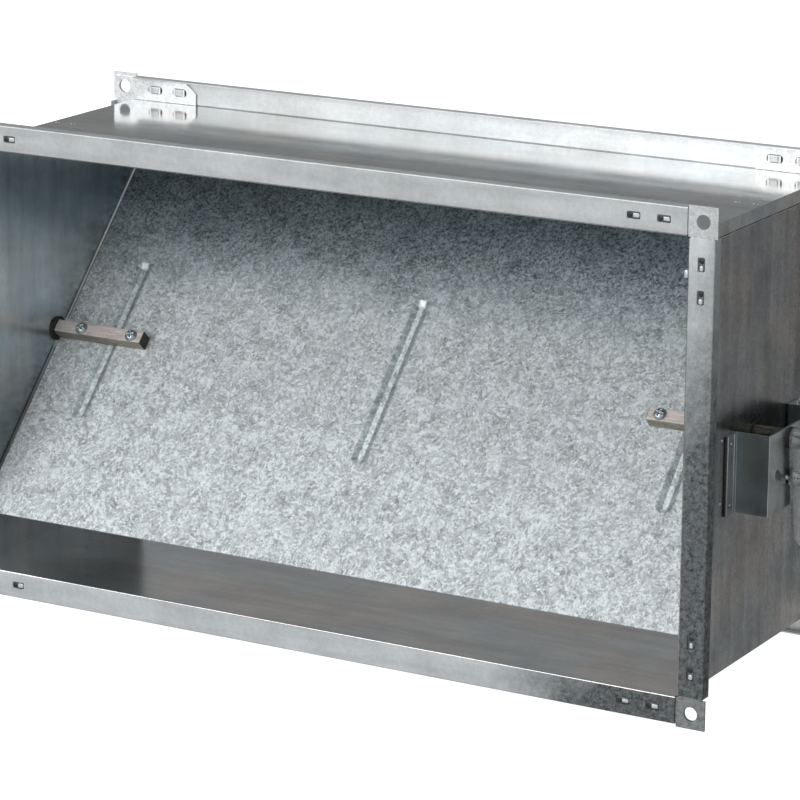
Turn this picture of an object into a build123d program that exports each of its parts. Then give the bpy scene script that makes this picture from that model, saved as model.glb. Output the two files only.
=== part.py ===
from build123d import *

import math
import os

# Rectangular volume control damper. Millimetres.
# Origin: centre of the front flange face. X runs across the duct, along the blade's pivot,
# with the lever on the +X side; +Y is the way through the duct; +Z is up.

# ---- driving dimensions: duct -------------------------------------------------------------
OPENING_WIDTH = 550.0
OPENING_HEIGHT = 300.0
LENGTH = 215.0
SHEET = 0.9
FLANGE_HEIGHT = 18.5
FLANGE_LIP = 8.5
BAR_END_GAP = 1.0
SEAM_LIP = 8.0
SEAM_START = 4.0

# ---- driving dimensions: corner plates ----------------------------------------------------
CORNER_SHEET = 1.5
CORNER_TAB = 20.0
CORNER_HOLE_D = 9.5
CORNER_ARM = 52.0
CORNER_FIT = 0.2  # arm to the bend inside the flange
ARM_CHAMFER_LONG = 9.0
ARM_CHAMFER_WIDE = 8.0
CLINCH_STEPS = (17.0, 38.0)
CLINCH_LENGTH = 9.5
CLINCH_WIDTH = 5.0
CLINCH_DEPTH = 0.5
CLINCH_BUMP = 0.8
SEAM_DOT = 3.5
SEAM_DOT_DEPTH = 0.4
SEAM_DOT_STEPS = (3.5, 16.5)

# ---- driving dimensions: blade and its bars -----------------------------------------------
BLADE_TILT = 43.5  # degrees from closed
QUARTER_TURN = 90.0  # closed to fully open
BLADE_SHEET = 1.0
BLADE_TIP_CLEARANCE = 1.0
BLADE_SIDE_CLEARANCE = 2.0
BEAD_LENGTH = 132.0
BEAD_WIDTH = 12.0
BEAD_DEPTH = 2.2
BEAD_END = 0.3  # share of a bead's width cut off each of its end corners
BEAD_TAPER = 60.0  # degrees the bead's flanks lean from square to the blade
BAR = 10.0
BAR_CHAMFER = 0.7
BAR_INSIDE = 75.0
SCREW_STEPS = (9.0, 51.5)  # from the bar's inner end
SCREW_D = 4.8
SCREW_HOLE_D = 5.2
SCREW_HEAD_D = 9.5
SCREW_HEAD_HEIGHT = 3.2
SCREW_RECESS = 4.4
SCREW_RECESS_DEPTH = 1.4
NUT_ACROSS = 8.0
NUT_HEIGHT = 4.0
JOURNAL_D = 10.0
SQUARE_END = 7.0
PIVOT_STUB = 8.0

# ---- driving dimensions: bushes -----------------------------------------------------------
BUSH_D = 14.0
BUSH_FLANGE_D = 17.5
BUSH_FLANGE = 1.5
BUSH_STICK_OUT = 0.6
RUNNING_FIT = 0.05
SHOULDER_GAP = 0.3
BRACKET_BUSH_D = 12.2
BRACKET_BUSH_COLLAR_D = 14.0
BRACKET_BUSH_TAIL = 2.0

# ---- driving dimensions: lever bracket ----------------------------------------------------
BRACKET_SHEET = 1.5
BRACKET_BEND = 0.6
BRACKET_STAND_OFF = 25.0
BRACKET_FRONT = 32.0  # pivot to front wall
BRACKET_REAR = 51.0
BRACKET_TOP = 7.7
BRACKET_BOTTOM = 46.1
BRACKET_FOOT = 14.0
FOOT_PRESS = 3.0
FOOT_PRESS_LENGTH = 6.0
FOOT_PRESS_INSET = 6.5
FOOT_PRESS_DEPTH = 0.5
SLOT_RADIUS = 28.0
SLOT_WIDTH = 6.6
SLOT_OVERRUN = 3.0  # degrees of slot past the clamp bolt's travel, at each end

# ---- driving dimensions: lever and clamp --------------------------------------------------
LEVER_LEAN = 7.0  # degrees the lever hangs back from straight down
LEVER_SHEET = 2.0
LEVER_SPACE = 2.4  # bracket face to lever
LEVER_LENGTH = 71.0
LEVER_WIDTH = 14.0
GRIP_REACH = 18.0
GRIP_TURN = 60.0  # degrees the grip is bent out of the lever
GRIP_BEND_RADIUS = 8.0
GRIP_CORNER = 3.0
WASHER = 1.2
LEVER_WASHER_D = 14.0
LEVER_WASHER = 7.6
LEVER_SCREW_D = 4.0
LEVER_SCREW_HEAD = 2.8
LEVER_SCREW_ACROSS = 7.0
LEVER_SCREW_DEPTH = 12.0
CLAMP_D = 6.0
CLAMP_HEAD_ACROSS = 10.0
CLAMP_HEAD = 3.0
CLAMP_LENGTH = 17.5
CLAMP_SPACER_ACROSS = 10.0
CLAMP_WASHER_D = 13.0
WING_HUB_D = 10.5
WING_HUB = 6.5
WING_SPAN = 28.0
WING_RISE = 13.0
WING_SHEET = 2.2
WING_FOOT = 1.0
LOOSE_FIT = 0.2
CONTACT_GAP = 0.1

# ---- places worked out from them ----------------------------------------------------------
HALF_W = OPENING_WIDTH / 2
HALF_H = OPENING_HEIGHT / 2
PIVOT_Y = LENGTH / 2
TILT = math.radians(BLADE_TILT)
UP_BLADE = Vector(0, math.sin(TILT), math.cos(TILT))
OFF_BLADE = Vector(0, -math.cos(TILT), math.sin(TILT))
WALL_X = HALF_W + SHEET
BAR_INNER_X = HALF_W - BAR_INSIDE
SHOULDER_X = HALF_W - BUSH_FLANGE - SHOULDER_GAP
BRACKET_FACE_X = WALL_X + BRACKET_STAND_OFF
LEVER_X = BRACKET_FACE_X + LEVER_SPACE
LEVER_OUT_X = LEVER_X + LEVER_SHEET
LEVER_ANGLE = math.radians(LEVER_LEAN)
ALONG_LEVER = Vector(0, math.sin(LEVER_ANGLE), -math.cos(LEVER_ANGLE))
BLADE_HEIGHT = OPENING_HEIGHT - 2 * BLADE_TIP_CLEARANCE
BLADE_WIDTH = OPENING_WIDTH - 2 * BLADE_SIDE_CLEARANCE
CLINCH_LINE = FLANGE_HEIGHT / 2

BLADE_PLANE = Plane(origin=(0, PIVOT_Y, 0), x_dir=(1, 0, 0), z_dir=OFF_BLADE)


def pivot_plane(x, x_dir=UP_BLADE):
    """A plane square to the pivot at x, facing +X, turned with the blade unless told otherwise."""
    return Plane(origin=(x, PIVOT_Y, 0), x_dir=x_dir, z_dir=(1, 0, 0))


def clamp_plane(x):
    """A plane square to the clamp bolt at x, turned with the lever."""
    centre = Vector(x, PIVOT_Y, 0) + ALONG_LEVER * SLOT_RADIUS
    return Plane(origin=centre, x_dir=ALONG_LEVER, z_dir=(1, 0, 0))


os.makedirs("parts", exist_ok=True)


def finish(builder, name):
    """Label a finished piece and write it."""
    builder.part.label = name
    export_step(builder.part, f"parts/{name}.step")


# ---- casing walls -------------------------------------------------------------------------
def flanged_section(plane):
    """Sheet profile of a wall: lip, flange face, web, flange face, lip, its bends round outside."""
    with BuildSketch(plane) as section:
        with BuildLine():
            inside = Polyline(
                (FLANGE_LIP, FLANGE_HEIGHT - SHEET),
                (SHEET, FLANGE_HEIGHT - SHEET),
                (SHEET, SHEET),
                (LENGTH - SHEET, SHEET),
                (LENGTH - SHEET, FLANGE_HEIGHT - SHEET),
                (LENGTH - FLANGE_LIP, FLANGE_HEIGHT - SHEET),
            )
            offset(inside, amount=SHEET, side=Side.RIGHT)
        make_face()
    return section.sketch


def clinch(angle=0):
    """Outline of one clinch where a corner plate's arm is pressed to a flange face."""
    with BuildSketch() as mark:
        Rectangle(CLINCH_LENGTH, CLINCH_WIDTH, rotation=angle)
    return mark.sketch


def clinch_marks(half_run, face):
    """The clinches at both ends of a flange face."""
    with BuildSketch(face) as marks:
        for end in (-1, 1):
            for step in CLINCH_STEPS:
                with Locations((end * (half_run - step), CLINCH_LINE)):
                    add(clinch())
    return marks.sketch


def flanged_wall(outward, half_opening, half_run):
    """One wall of the duct with its two flanges; outward is the side it faces."""
    through = Vector(0, 1, 0)
    along = through.cross(outward)
    base = outward * half_opening
    with BuildPart() as wall:
        section = flanged_section(Plane(origin=base, x_dir=through, z_dir=along))
        extrude(section, amount=half_run - BAR_END_GAP, both=True)
        for face_y, turn in ((0, -1), (LENGTH, 1)):
            face = Plane(origin=base + through * face_y, x_dir=along * -turn, z_dir=through * turn)
            extrude(clinch_marks(half_run, face), amount=-CLINCH_DEPTH, mode=Mode.SUBTRACT)
    return wall.part


def seam_section(*points):
    """A closed profile across the duct, at the start of the seams."""
    start = Plane(origin=(0, SEAM_START, 0), x_dir=(1, 0, 0), z_dir=(0, -1, 0))
    with BuildSketch(start) as section:
        with BuildLine():
            Polyline(*points, close=True)
        make_face()
    return section.sketch


SEAM_RUN = LENGTH - 2 * SEAM_START

# The top wall caps both side walls.
with BuildPart() as top_panel:
    add(flanged_wall(Vector(0, 0, 1), HALF_H, HALF_W))
    cap = seam_section(
        (-WALL_X - SHEET, HALF_H - SEAM_LIP),
        (-WALL_X - SHEET, HALF_H + SHEET),
        (WALL_X + SHEET, HALF_H + SHEET),
        (WALL_X + SHEET, HALF_H - SEAM_LIP),
        (WALL_X, HALF_H - SEAM_LIP),
        (WALL_X, HALF_H),
        (-WALL_X, HALF_H),
        (-WALL_X, HALF_H - SEAM_LIP),
    )
    extrude(cap, amount=-SEAM_RUN)
    with BuildSketch(Plane.XY.offset(HALF_H + SHEET)):
        for side in (-1, 1):
            for step in SEAM_DOT_STEPS:
                with Locations((side * (HALF_W - step), PIVOT_Y)):
                    RegularPolygon(SEAM_DOT / 2, 6)
    extrude(amount=-SEAM_DOT_DEPTH, mode=Mode.SUBTRACT)
finish(top_panel, "top_panel")

# The bottom wall lies between the side walls and on their lips.
with BuildPart() as bottom_panel:
    add(flanged_wall(Vector(0, 0, -1), HALF_H, HALF_W))
    floor = seam_section(
        (-HALF_W, -HALF_H),
        (HALF_W, -HALF_H),
        (HALF_W, -HALF_H - SHEET),
        (-HALF_W, -HALF_H - SHEET),
    )
    extrude(floor, amount=-SEAM_RUN)
finish(bottom_panel, "bottom_panel")

for side, wall_name in ((-1, "left_panel"), (1, "right_panel")):
    with BuildPart() as side_panel:
        add(flanged_wall(Vector(side, 0, 0), HALF_W, HALF_H))
        turned_under = seam_section(
            (side * HALF_W, HALF_H),
            (side * WALL_X, HALF_H),
            (side * WALL_X, -HALF_H - 2 * SHEET),
            (side * (HALF_W - SEAM_LIP), -HALF_H - 2 * SHEET),
            (side * (HALF_W - SEAM_LIP), -HALF_H - SHEET),
            (side * HALF_W, -HALF_H - SHEET),
        )
        extrude(turned_under, amount=-SEAM_RUN)
        with BuildSketch(pivot_plane(side * HALF_W)):
            Circle(BUSH_D / 2 + RUNNING_FIT)
        extrude(amount=side * SHEET, mode=Mode.SUBTRACT)
    finish(side_panel, wall_name)


# ---- corner plates ------------------------------------------------------------------------
def corner_plate(side, level, front):
    """A stamped corner: a square bolt tab flush with the flange, two arms behind its faces."""
    corner = (side * HALF_W, 0 if front else LENGTH, level * HALF_H)
    plane = Plane(origin=corner, x_dir=(side, 0, 0), z_dir=(0, -side * level, 0))
    inward = -side * level if front else side * level
    low = SHEET + CORNER_FIT
    high = FLANGE_HEIGHT - SHEET - CORNER_FIT
    arm = [
        (-CORNER_ARM, low),
        (high, low),
        (high, high),
        (ARM_CHAMFER_LONG - CORNER_ARM, high),
        (-CORNER_ARM, high - ARM_CHAMFER_WIDE),
    ]
    with BuildPart() as plate:
        with BuildSketch(plane.offset(inward * SHEET)):
            for outline in (arm, [(y, x) for x, y in arm]):
                with BuildLine():
                    Polyline(*outline, close=True)
                make_face()
        extrude(amount=inward * CORNER_SHEET)
        with BuildSketch(plane):
            Rectangle(CORNER_TAB, CORNER_TAB, align=(Align.MIN, Align.MIN))
        extrude(amount=inward * CORNER_SHEET)
        with BuildSketch(plane.offset(inward * (SHEET + CORNER_SHEET))):
            for step in CLINCH_STEPS:
                with Locations((-step, CLINCH_LINE)):
                    add(clinch())
                with Locations((CLINCH_LINE, -step)):
                    add(clinch(angle=90))
        extrude(amount=inward * CLINCH_BUMP)
        with BuildSketch(plane):
            with Locations((CORNER_TAB / 2, CORNER_TAB / 2)):
                Circle(CORNER_HOLE_D / 2)
        extrude(amount=inward * (SHEET + CORNER_SHEET), mode=Mode.SUBTRACT)
    return plate


for front, end_name in ((True, "front"), (False, "rear")):
    for level, level_name in ((1, "top"), (-1, "bottom")):
        for side, side_name in ((-1, "left"), (1, "right")):
            plate = corner_plate(side, level, front)
            finish(plate, f"corner_{end_name}_{level_name}_{side_name}")

# ---- blade --------------------------------------------------------------------------------
BLADE_FACE = BLADE_PLANE.offset(-BAR / 2)
BLADE_BACK = BLADE_FACE.offset(-BLADE_SHEET)
SCREW_XS = [side * (BAR_INNER_X + step) for side in (-1, 1) for step in SCREW_STEPS]
BEAD_PITCH = BAR_INNER_X + sum(SCREW_STEPS) / 2  # the outer beads run between each bar's screws


def beads(plane, widen):
    """Outlines of the stiffening beads, standing up the blade."""
    with BuildSketch(plane) as outlines:
        with GridLocations(BEAD_PITCH, 1, 3, 1):
            Rectangle(BEAD_WIDTH + widen, BEAD_LENGTH + widen)
        chamfer(outlines.vertices(), BEAD_WIDTH * BEAD_END)
    return outlines.sketch


def screw_places(plane, diameter):
    """Circles on the blade's screw places, on a plane parallel to the blade."""
    with BuildSketch(plane) as circles:
        with Locations(*[(x, 0) for x in SCREW_XS]):
            Circle(diameter / 2)
    return circles.sketch


with BuildPart() as blade:
    with BuildSketch(BLADE_FACE):
        Rectangle(BLADE_WIDTH, BLADE_HEIGHT)
    extrude(amount=-BLADE_SHEET)
    extrude(beads(BLADE_BACK, BLADE_SHEET), amount=-BEAD_DEPTH, taper=BEAD_TAPER)
    extrude(beads(BLADE_FACE, 0), amount=-BEAD_DEPTH, taper=BEAD_TAPER, mode=Mode.SUBTRACT)
    extrude(screw_places(BLADE_FACE, SCREW_HOLE_D), amount=-BLADE_SHEET, mode=Mode.SUBTRACT)
finish(blade, "blade")


# ---- pivot bars ---------------------------------------------------------------------------
def square_bar(start_plane, width, run):
    """A square length of bar from a plane across the pivot, with its long edges broken."""
    with BuildPart() as length_of_bar:
        with BuildSketch(start_plane) as section:
            Rectangle(width, width)
            chamfer(section.vertices(), BAR_CHAMFER)
        extrude(amount=run)
    return length_of_bar.part


def bar_with_journal(side, journal_run):
    """A blade bar: square along the blade, turned round where it leaves the duct."""
    with BuildPart() as bar:
        add(square_bar(pivot_plane(side * BAR_INNER_X), BAR, side * (SHOULDER_X - BAR_INNER_X)))
        with BuildSketch(pivot_plane(side * SHOULDER_X)):
            Circle(JOURNAL_D / 2)
        extrude(amount=side * journal_run)
        holes = [(side * (BAR_INNER_X + step), 0) for step in SCREW_STEPS]
        with BuildSketch(BLADE_PLANE.offset(BAR / 2)):
            with Locations(*holes):
                Circle(SCREW_HOLE_D / 2)
        extrude(amount=-BAR, mode=Mode.SUBTRACT)
    return bar.part


with BuildPart() as pivot_bar:
    add(bar_with_journal(-1, WALL_X + PIVOT_STUB - SHOULDER_X))
    pivot_end = pivot_bar.faces().sort_by(Axis.X)[0]
    chamfer(pivot_end.edges(), BAR_CHAMFER)
finish(pivot_bar, "pivot_bar")

DRIVE_END_X = LEVER_OUT_X - LOOSE_FIT
with BuildPart() as drive_bar:
    add(bar_with_journal(1, LEVER_X - SHOULDER_X))
    add(square_bar(pivot_plane(LEVER_X, ALONG_LEVER), SQUARE_END, DRIVE_END_X - LEVER_X))
    with BuildSketch(pivot_plane(DRIVE_END_X)):
        Circle(LEVER_SCREW_D / 2 + RUNNING_FIT)
    extrude(amount=-LEVER_SCREW_DEPTH - LOOSE_FIT, mode=Mode.SUBTRACT)
finish(drive_bar, "drive_bar")

with BuildPart() as blade_screws:
    head_seat = BLADE_PLANE.offset(BAR / 2)
    extrude(screw_places(head_seat, SCREW_HEAD_D), amount=SCREW_HEAD_HEIGHT)
    shank = BAR + BLADE_SHEET + NUT_HEIGHT
    extrude(screw_places(head_seat, SCREW_D), amount=-shank)
    with BuildSketch(head_seat.offset(SCREW_HEAD_HEIGHT)):
        with Locations(*[(x, 0) for x in SCREW_XS]):
            Rectangle(SCREW_RECESS, SCREW_RECESS / 4, rotation=20)
            Rectangle(SCREW_RECESS / 4, SCREW_RECESS, rotation=20)
    extrude(amount=-SCREW_RECESS_DEPTH, mode=Mode.SUBTRACT)
finish(blade_screws, "blade_screws")

with BuildPart() as blade_nuts:
    with BuildSketch(BLADE_BACK):
        with Locations(*[(x, 0) for x in SCREW_XS]):
            RegularPolygon(NUT_ACROSS / 2, 6, major_radius=False)
            Circle(SCREW_D / 2 + RUNNING_FIT, mode=Mode.SUBTRACT)
    extrude(amount=-NUT_HEIGHT)
finish(blade_nuts, "blade_nuts")


# ---- bushes -------------------------------------------------------------------------------
def turned(plane, *steps):
    """A stack of round steps (from, to, diameter) along a plane's normal."""
    with BuildPart() as stack:
        for start, end, diameter in steps:
            with BuildSketch(plane.offset(start)):
                Circle(diameter / 2)
            extrude(amount=end - start)
    return stack.part


for side, bush_name in ((-1, "left_bush"), (1, "right_bush")):
    wall_face = Plane(origin=(side * HALF_W, PIVOT_Y, 0), x_dir=(0, 1, 0), z_dir=(side, 0, 0))
    past_wall = SHEET + BUSH_STICK_OUT
    with BuildPart() as wall_bush:
        add(turned(wall_face, (-BUSH_FLANGE, 0, BUSH_FLANGE_D), (0, past_wall, BUSH_D)))
        with BuildSketch(wall_face.offset(-BUSH_FLANGE)):
            Circle(JOURNAL_D / 2 + RUNNING_FIT)
        extrude(amount=BUSH_FLANGE + past_wall, mode=Mode.SUBTRACT)
    finish(wall_bush, bush_name)

with BuildPart() as bracket_bush:
    bracket_face = pivot_plane(BRACKET_FACE_X, x_dir=(0, 1, 0))
    collar_run = LEVER_SPACE - SHOULDER_GAP
    tail = -BRACKET_SHEET - BRACKET_BUSH_TAIL
    add(turned(bracket_face, (0, collar_run, BRACKET_BUSH_COLLAR_D), (tail, 0, BRACKET_BUSH_D)))
    with BuildSketch(bracket_face.offset(tail)):
        Circle(JOURNAL_D / 2 + RUNNING_FIT)
    extrude(amount=collar_run - tail, mode=Mode.SUBTRACT)
finish(bracket_bush, "bracket_bush")

# ---- lever bracket ------------------------------------------------------------------------
with BuildPart() as lever_bracket:
    top_edge = Plane(origin=(WALL_X, PIVOT_Y, BRACKET_TOP), x_dir=(0, 1, 0), z_dir=(0, 0, 1))
    with BuildSketch(top_edge):
        with BuildLine():
            hat = FilletPolyline(
                (-BRACKET_FRONT - BRACKET_FOOT, -BRACKET_SHEET),
                (-BRACKET_FRONT, -BRACKET_SHEET),
                (-BRACKET_FRONT, -BRACKET_STAND_OFF),
                (BRACKET_REAR, -BRACKET_STAND_OFF),
                (BRACKET_REAR, -BRACKET_SHEET),
                (BRACKET_REAR + BRACKET_FOOT, -BRACKET_SHEET),
                radius=BRACKET_BEND,
            )
            offset(hat, amount=BRACKET_SHEET, side=Side.LEFT)
        make_face()
    extrude(amount=-BRACKET_TOP - BRACKET_BOTTOM)
    with BuildSketch(pivot_plane(BRACKET_FACE_X, x_dir=(0, 0, -1))):
        Circle(BRACKET_BUSH_D / 2 + RUNNING_FIT)
        opened = LEVER_LEAN - (QUARTER_TURN - BLADE_TILT)
        with BuildLine():
            sweep = QUARTER_TURN + 2 * SLOT_OVERRUN
            slot_line = CenterArc((0, 0), SLOT_RADIUS, opened - SLOT_OVERRUN, sweep)
        SlotArc(slot_line, SLOT_WIDTH)
    extrude(amount=-BRACKET_SHEET, mode=Mode.SUBTRACT)
    with BuildSketch(pivot_plane(WALL_X + BRACKET_SHEET, x_dir=(0, 1, 0))):
        for foot_middle in (-BRACKET_FRONT - BRACKET_FOOT / 2, BRACKET_REAR + BRACKET_FOOT / 2):
            for height in (BRACKET_TOP - FOOT_PRESS_INSET, FOOT_PRESS_INSET - BRACKET_BOTTOM):
                with Locations((foot_middle, height)):
                    Rectangle(FOOT_PRESS_LENGTH, FOOT_PRESS)
    extrude(amount=-FOOT_PRESS_DEPTH, mode=Mode.SUBTRACT)
finish(lever_bracket, "lever_bracket")

# ---- lever --------------------------------------------------------------------------------
with BuildPart() as lever:
    lever_plane = pivot_plane(LEVER_X, x_dir=ALONG_LEVER)
    side_plane = Plane(origin=lever_plane.origin, x_dir=ALONG_LEVER, z_dir=lever_plane.y_dir)
    grip_turn = math.radians(GRIP_TURN)
    grip_tip = (LEVER_LENGTH + GRIP_REACH * math.cos(grip_turn), -GRIP_REACH * math.sin(grip_turn))
    with BuildSketch(side_plane):
        with BuildLine():
            bend = GRIP_BEND_RADIUS + LEVER_SHEET
            fold = FilletPolyline((0, 0), (LEVER_LENGTH, 0), grip_tip, radius=bend)
            offset(fold, amount=LEVER_SHEET, side=Side.RIGHT)
        make_face()
    extrude(amount=LEVER_WIDTH / 2, both=True)
    grip_end = lever.faces().sort_by(Axis.X)[-1]
    chamfer(grip_end.edges().sort_by(SortBy.LENGTH)[:2], GRIP_CORNER)
    with BuildSketch(lever_plane):
        Circle(LEVER_WIDTH / 2)
    extrude(amount=LEVER_SHEET)
    with BuildSketch(lever_plane):
        square_hole = SQUARE_END + 2 * RUNNING_FIT
        Rectangle(square_hole, square_hole)
        with Locations((SLOT_RADIUS, 0)):
            Circle(CLAMP_D / 2 + LOOSE_FIT)
    extrude(amount=LEVER_SHEET, mode=Mode.SUBTRACT)
finish(lever, "lever")

lever_out = pivot_plane(LEVER_OUT_X, x_dir=ALONG_LEVER)
with BuildPart() as lever_washer:
    with BuildSketch(lever_out):
        Circle(LEVER_WASHER_D / 2)
        Circle(LEVER_SCREW_D / 2 + LOOSE_FIT, mode=Mode.SUBTRACT)
    extrude(amount=LEVER_WASHER)
finish(lever_washer, "lever_washer")

with BuildPart() as lever_screw:
    with BuildSketch(lever_out.offset(LEVER_WASHER)):
        RegularPolygon(LEVER_SCREW_ACROSS / 2, 6, major_radius=False)
    extrude(amount=LEVER_SCREW_HEAD)
    with BuildSketch(lever_out.offset(LEVER_WASHER)):
        Circle(LEVER_SCREW_D / 2)
    extrude(amount=-LEVER_WASHER - LEVER_SCREW_DEPTH)
finish(lever_screw, "lever_screw")

# ---- clamp --------------------------------------------------------------------------------
with BuildPart() as clamp_bolt:
    bolt_start = clamp_plane(BRACKET_FACE_X - BRACKET_SHEET - LOOSE_FIT)
    with BuildSketch(bolt_start):
        Rectangle(CLAMP_HEAD_ACROSS, CLAMP_HEAD_ACROSS)
    extrude(amount=-CLAMP_HEAD)
    add(turned(bolt_start, (0, CLAMP_LENGTH, CLAMP_D)))
finish(clamp_bolt, "clamp_bolt")

with BuildPart() as clamp_spacer:
    with BuildSketch(clamp_plane(BRACKET_FACE_X + LOOSE_FIT)):
        RegularPolygon(CLAMP_SPACER_ACROSS / 2, 6, major_radius=False)
        Circle(CLAMP_D / 2 + RUNNING_FIT, mode=Mode.SUBTRACT)
    extrude(amount=LEVER_SPACE - LOOSE_FIT)
finish(clamp_spacer, "clamp_spacer")

with BuildPart() as clamp_washer:
    with BuildSketch(clamp_plane(LEVER_OUT_X)):
        Circle(CLAMP_WASHER_D / 2)
        Circle(CLAMP_D / 2 + RUNNING_FIT, mode=Mode.SUBTRACT)
    extrude(amount=WASHER)
finish(clamp_washer, "clamp_washer")

with BuildPart() as wing_nut:
    nut_plane = clamp_plane(LEVER_OUT_X + WASHER + CONTACT_GAP)
    with BuildSketch(nut_plane):
        Circle(WING_HUB_D / 2)
    extrude(amount=WING_HUB)
    wing_plane = Plane(origin=nut_plane.origin, x_dir=ALONG_LEVER, z_dir=nut_plane.y_dir)
    with BuildSketch(wing_plane):
        for side in (-1, 1):
            with BuildLine():
                Polyline(
                    (side * WING_HUB_D * 0.45, -WING_FOOT),
                    (side * WING_HUB_D * 0.35, -WING_HUB),
                    (side * WING_SPAN / 2 * 0.72, -WING_RISE),
                    (side * WING_SPAN / 2, -WING_RISE * 0.86),
                    (side * WING_SPAN / 2 * 0.86, -WING_HUB),
                    (side * WING_HUB_D * 0.6, -WING_FOOT),
                    close=True,
                )
            make_face()
    extrude(amount=WING_SHEET / 2, both=True)
    with BuildSketch(nut_plane):
        Circle(CLAMP_D / 2 + RUNNING_FIT)
    extrude(amount=WING_RISE, mode=Mode.SUBTRACT)
finish(wing_nut, "wing_nut")
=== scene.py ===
import math
import random

import bmesh
import bpy
from mathutils import Matrix, Vector


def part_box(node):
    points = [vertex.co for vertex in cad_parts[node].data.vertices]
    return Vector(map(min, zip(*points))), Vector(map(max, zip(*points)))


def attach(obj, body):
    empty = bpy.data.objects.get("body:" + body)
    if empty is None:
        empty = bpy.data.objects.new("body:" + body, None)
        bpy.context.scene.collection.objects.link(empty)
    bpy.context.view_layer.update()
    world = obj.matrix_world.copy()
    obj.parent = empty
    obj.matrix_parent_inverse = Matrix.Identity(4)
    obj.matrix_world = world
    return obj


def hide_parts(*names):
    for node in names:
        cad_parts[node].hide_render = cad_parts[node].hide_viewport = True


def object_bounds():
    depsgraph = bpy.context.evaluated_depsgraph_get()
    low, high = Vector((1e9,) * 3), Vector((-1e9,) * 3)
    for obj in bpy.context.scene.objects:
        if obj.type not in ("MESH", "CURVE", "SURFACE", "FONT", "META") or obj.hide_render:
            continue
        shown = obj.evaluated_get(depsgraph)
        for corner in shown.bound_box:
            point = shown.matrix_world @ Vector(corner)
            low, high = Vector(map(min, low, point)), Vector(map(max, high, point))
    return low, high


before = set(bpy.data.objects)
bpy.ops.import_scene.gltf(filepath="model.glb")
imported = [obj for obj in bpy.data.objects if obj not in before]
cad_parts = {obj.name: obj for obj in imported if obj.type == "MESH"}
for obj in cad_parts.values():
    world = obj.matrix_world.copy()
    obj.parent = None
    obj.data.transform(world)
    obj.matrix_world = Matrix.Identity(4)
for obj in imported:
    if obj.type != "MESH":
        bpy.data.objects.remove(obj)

cad_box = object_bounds()


# ---- shader helpers -----------------------------------------------------------------------
# The colour sockets of a Mix node, which shares their names with its other kinds.
MIX_FIRST, MIX_SECOND, MIX_RESULT = 6, 7, 2


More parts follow.
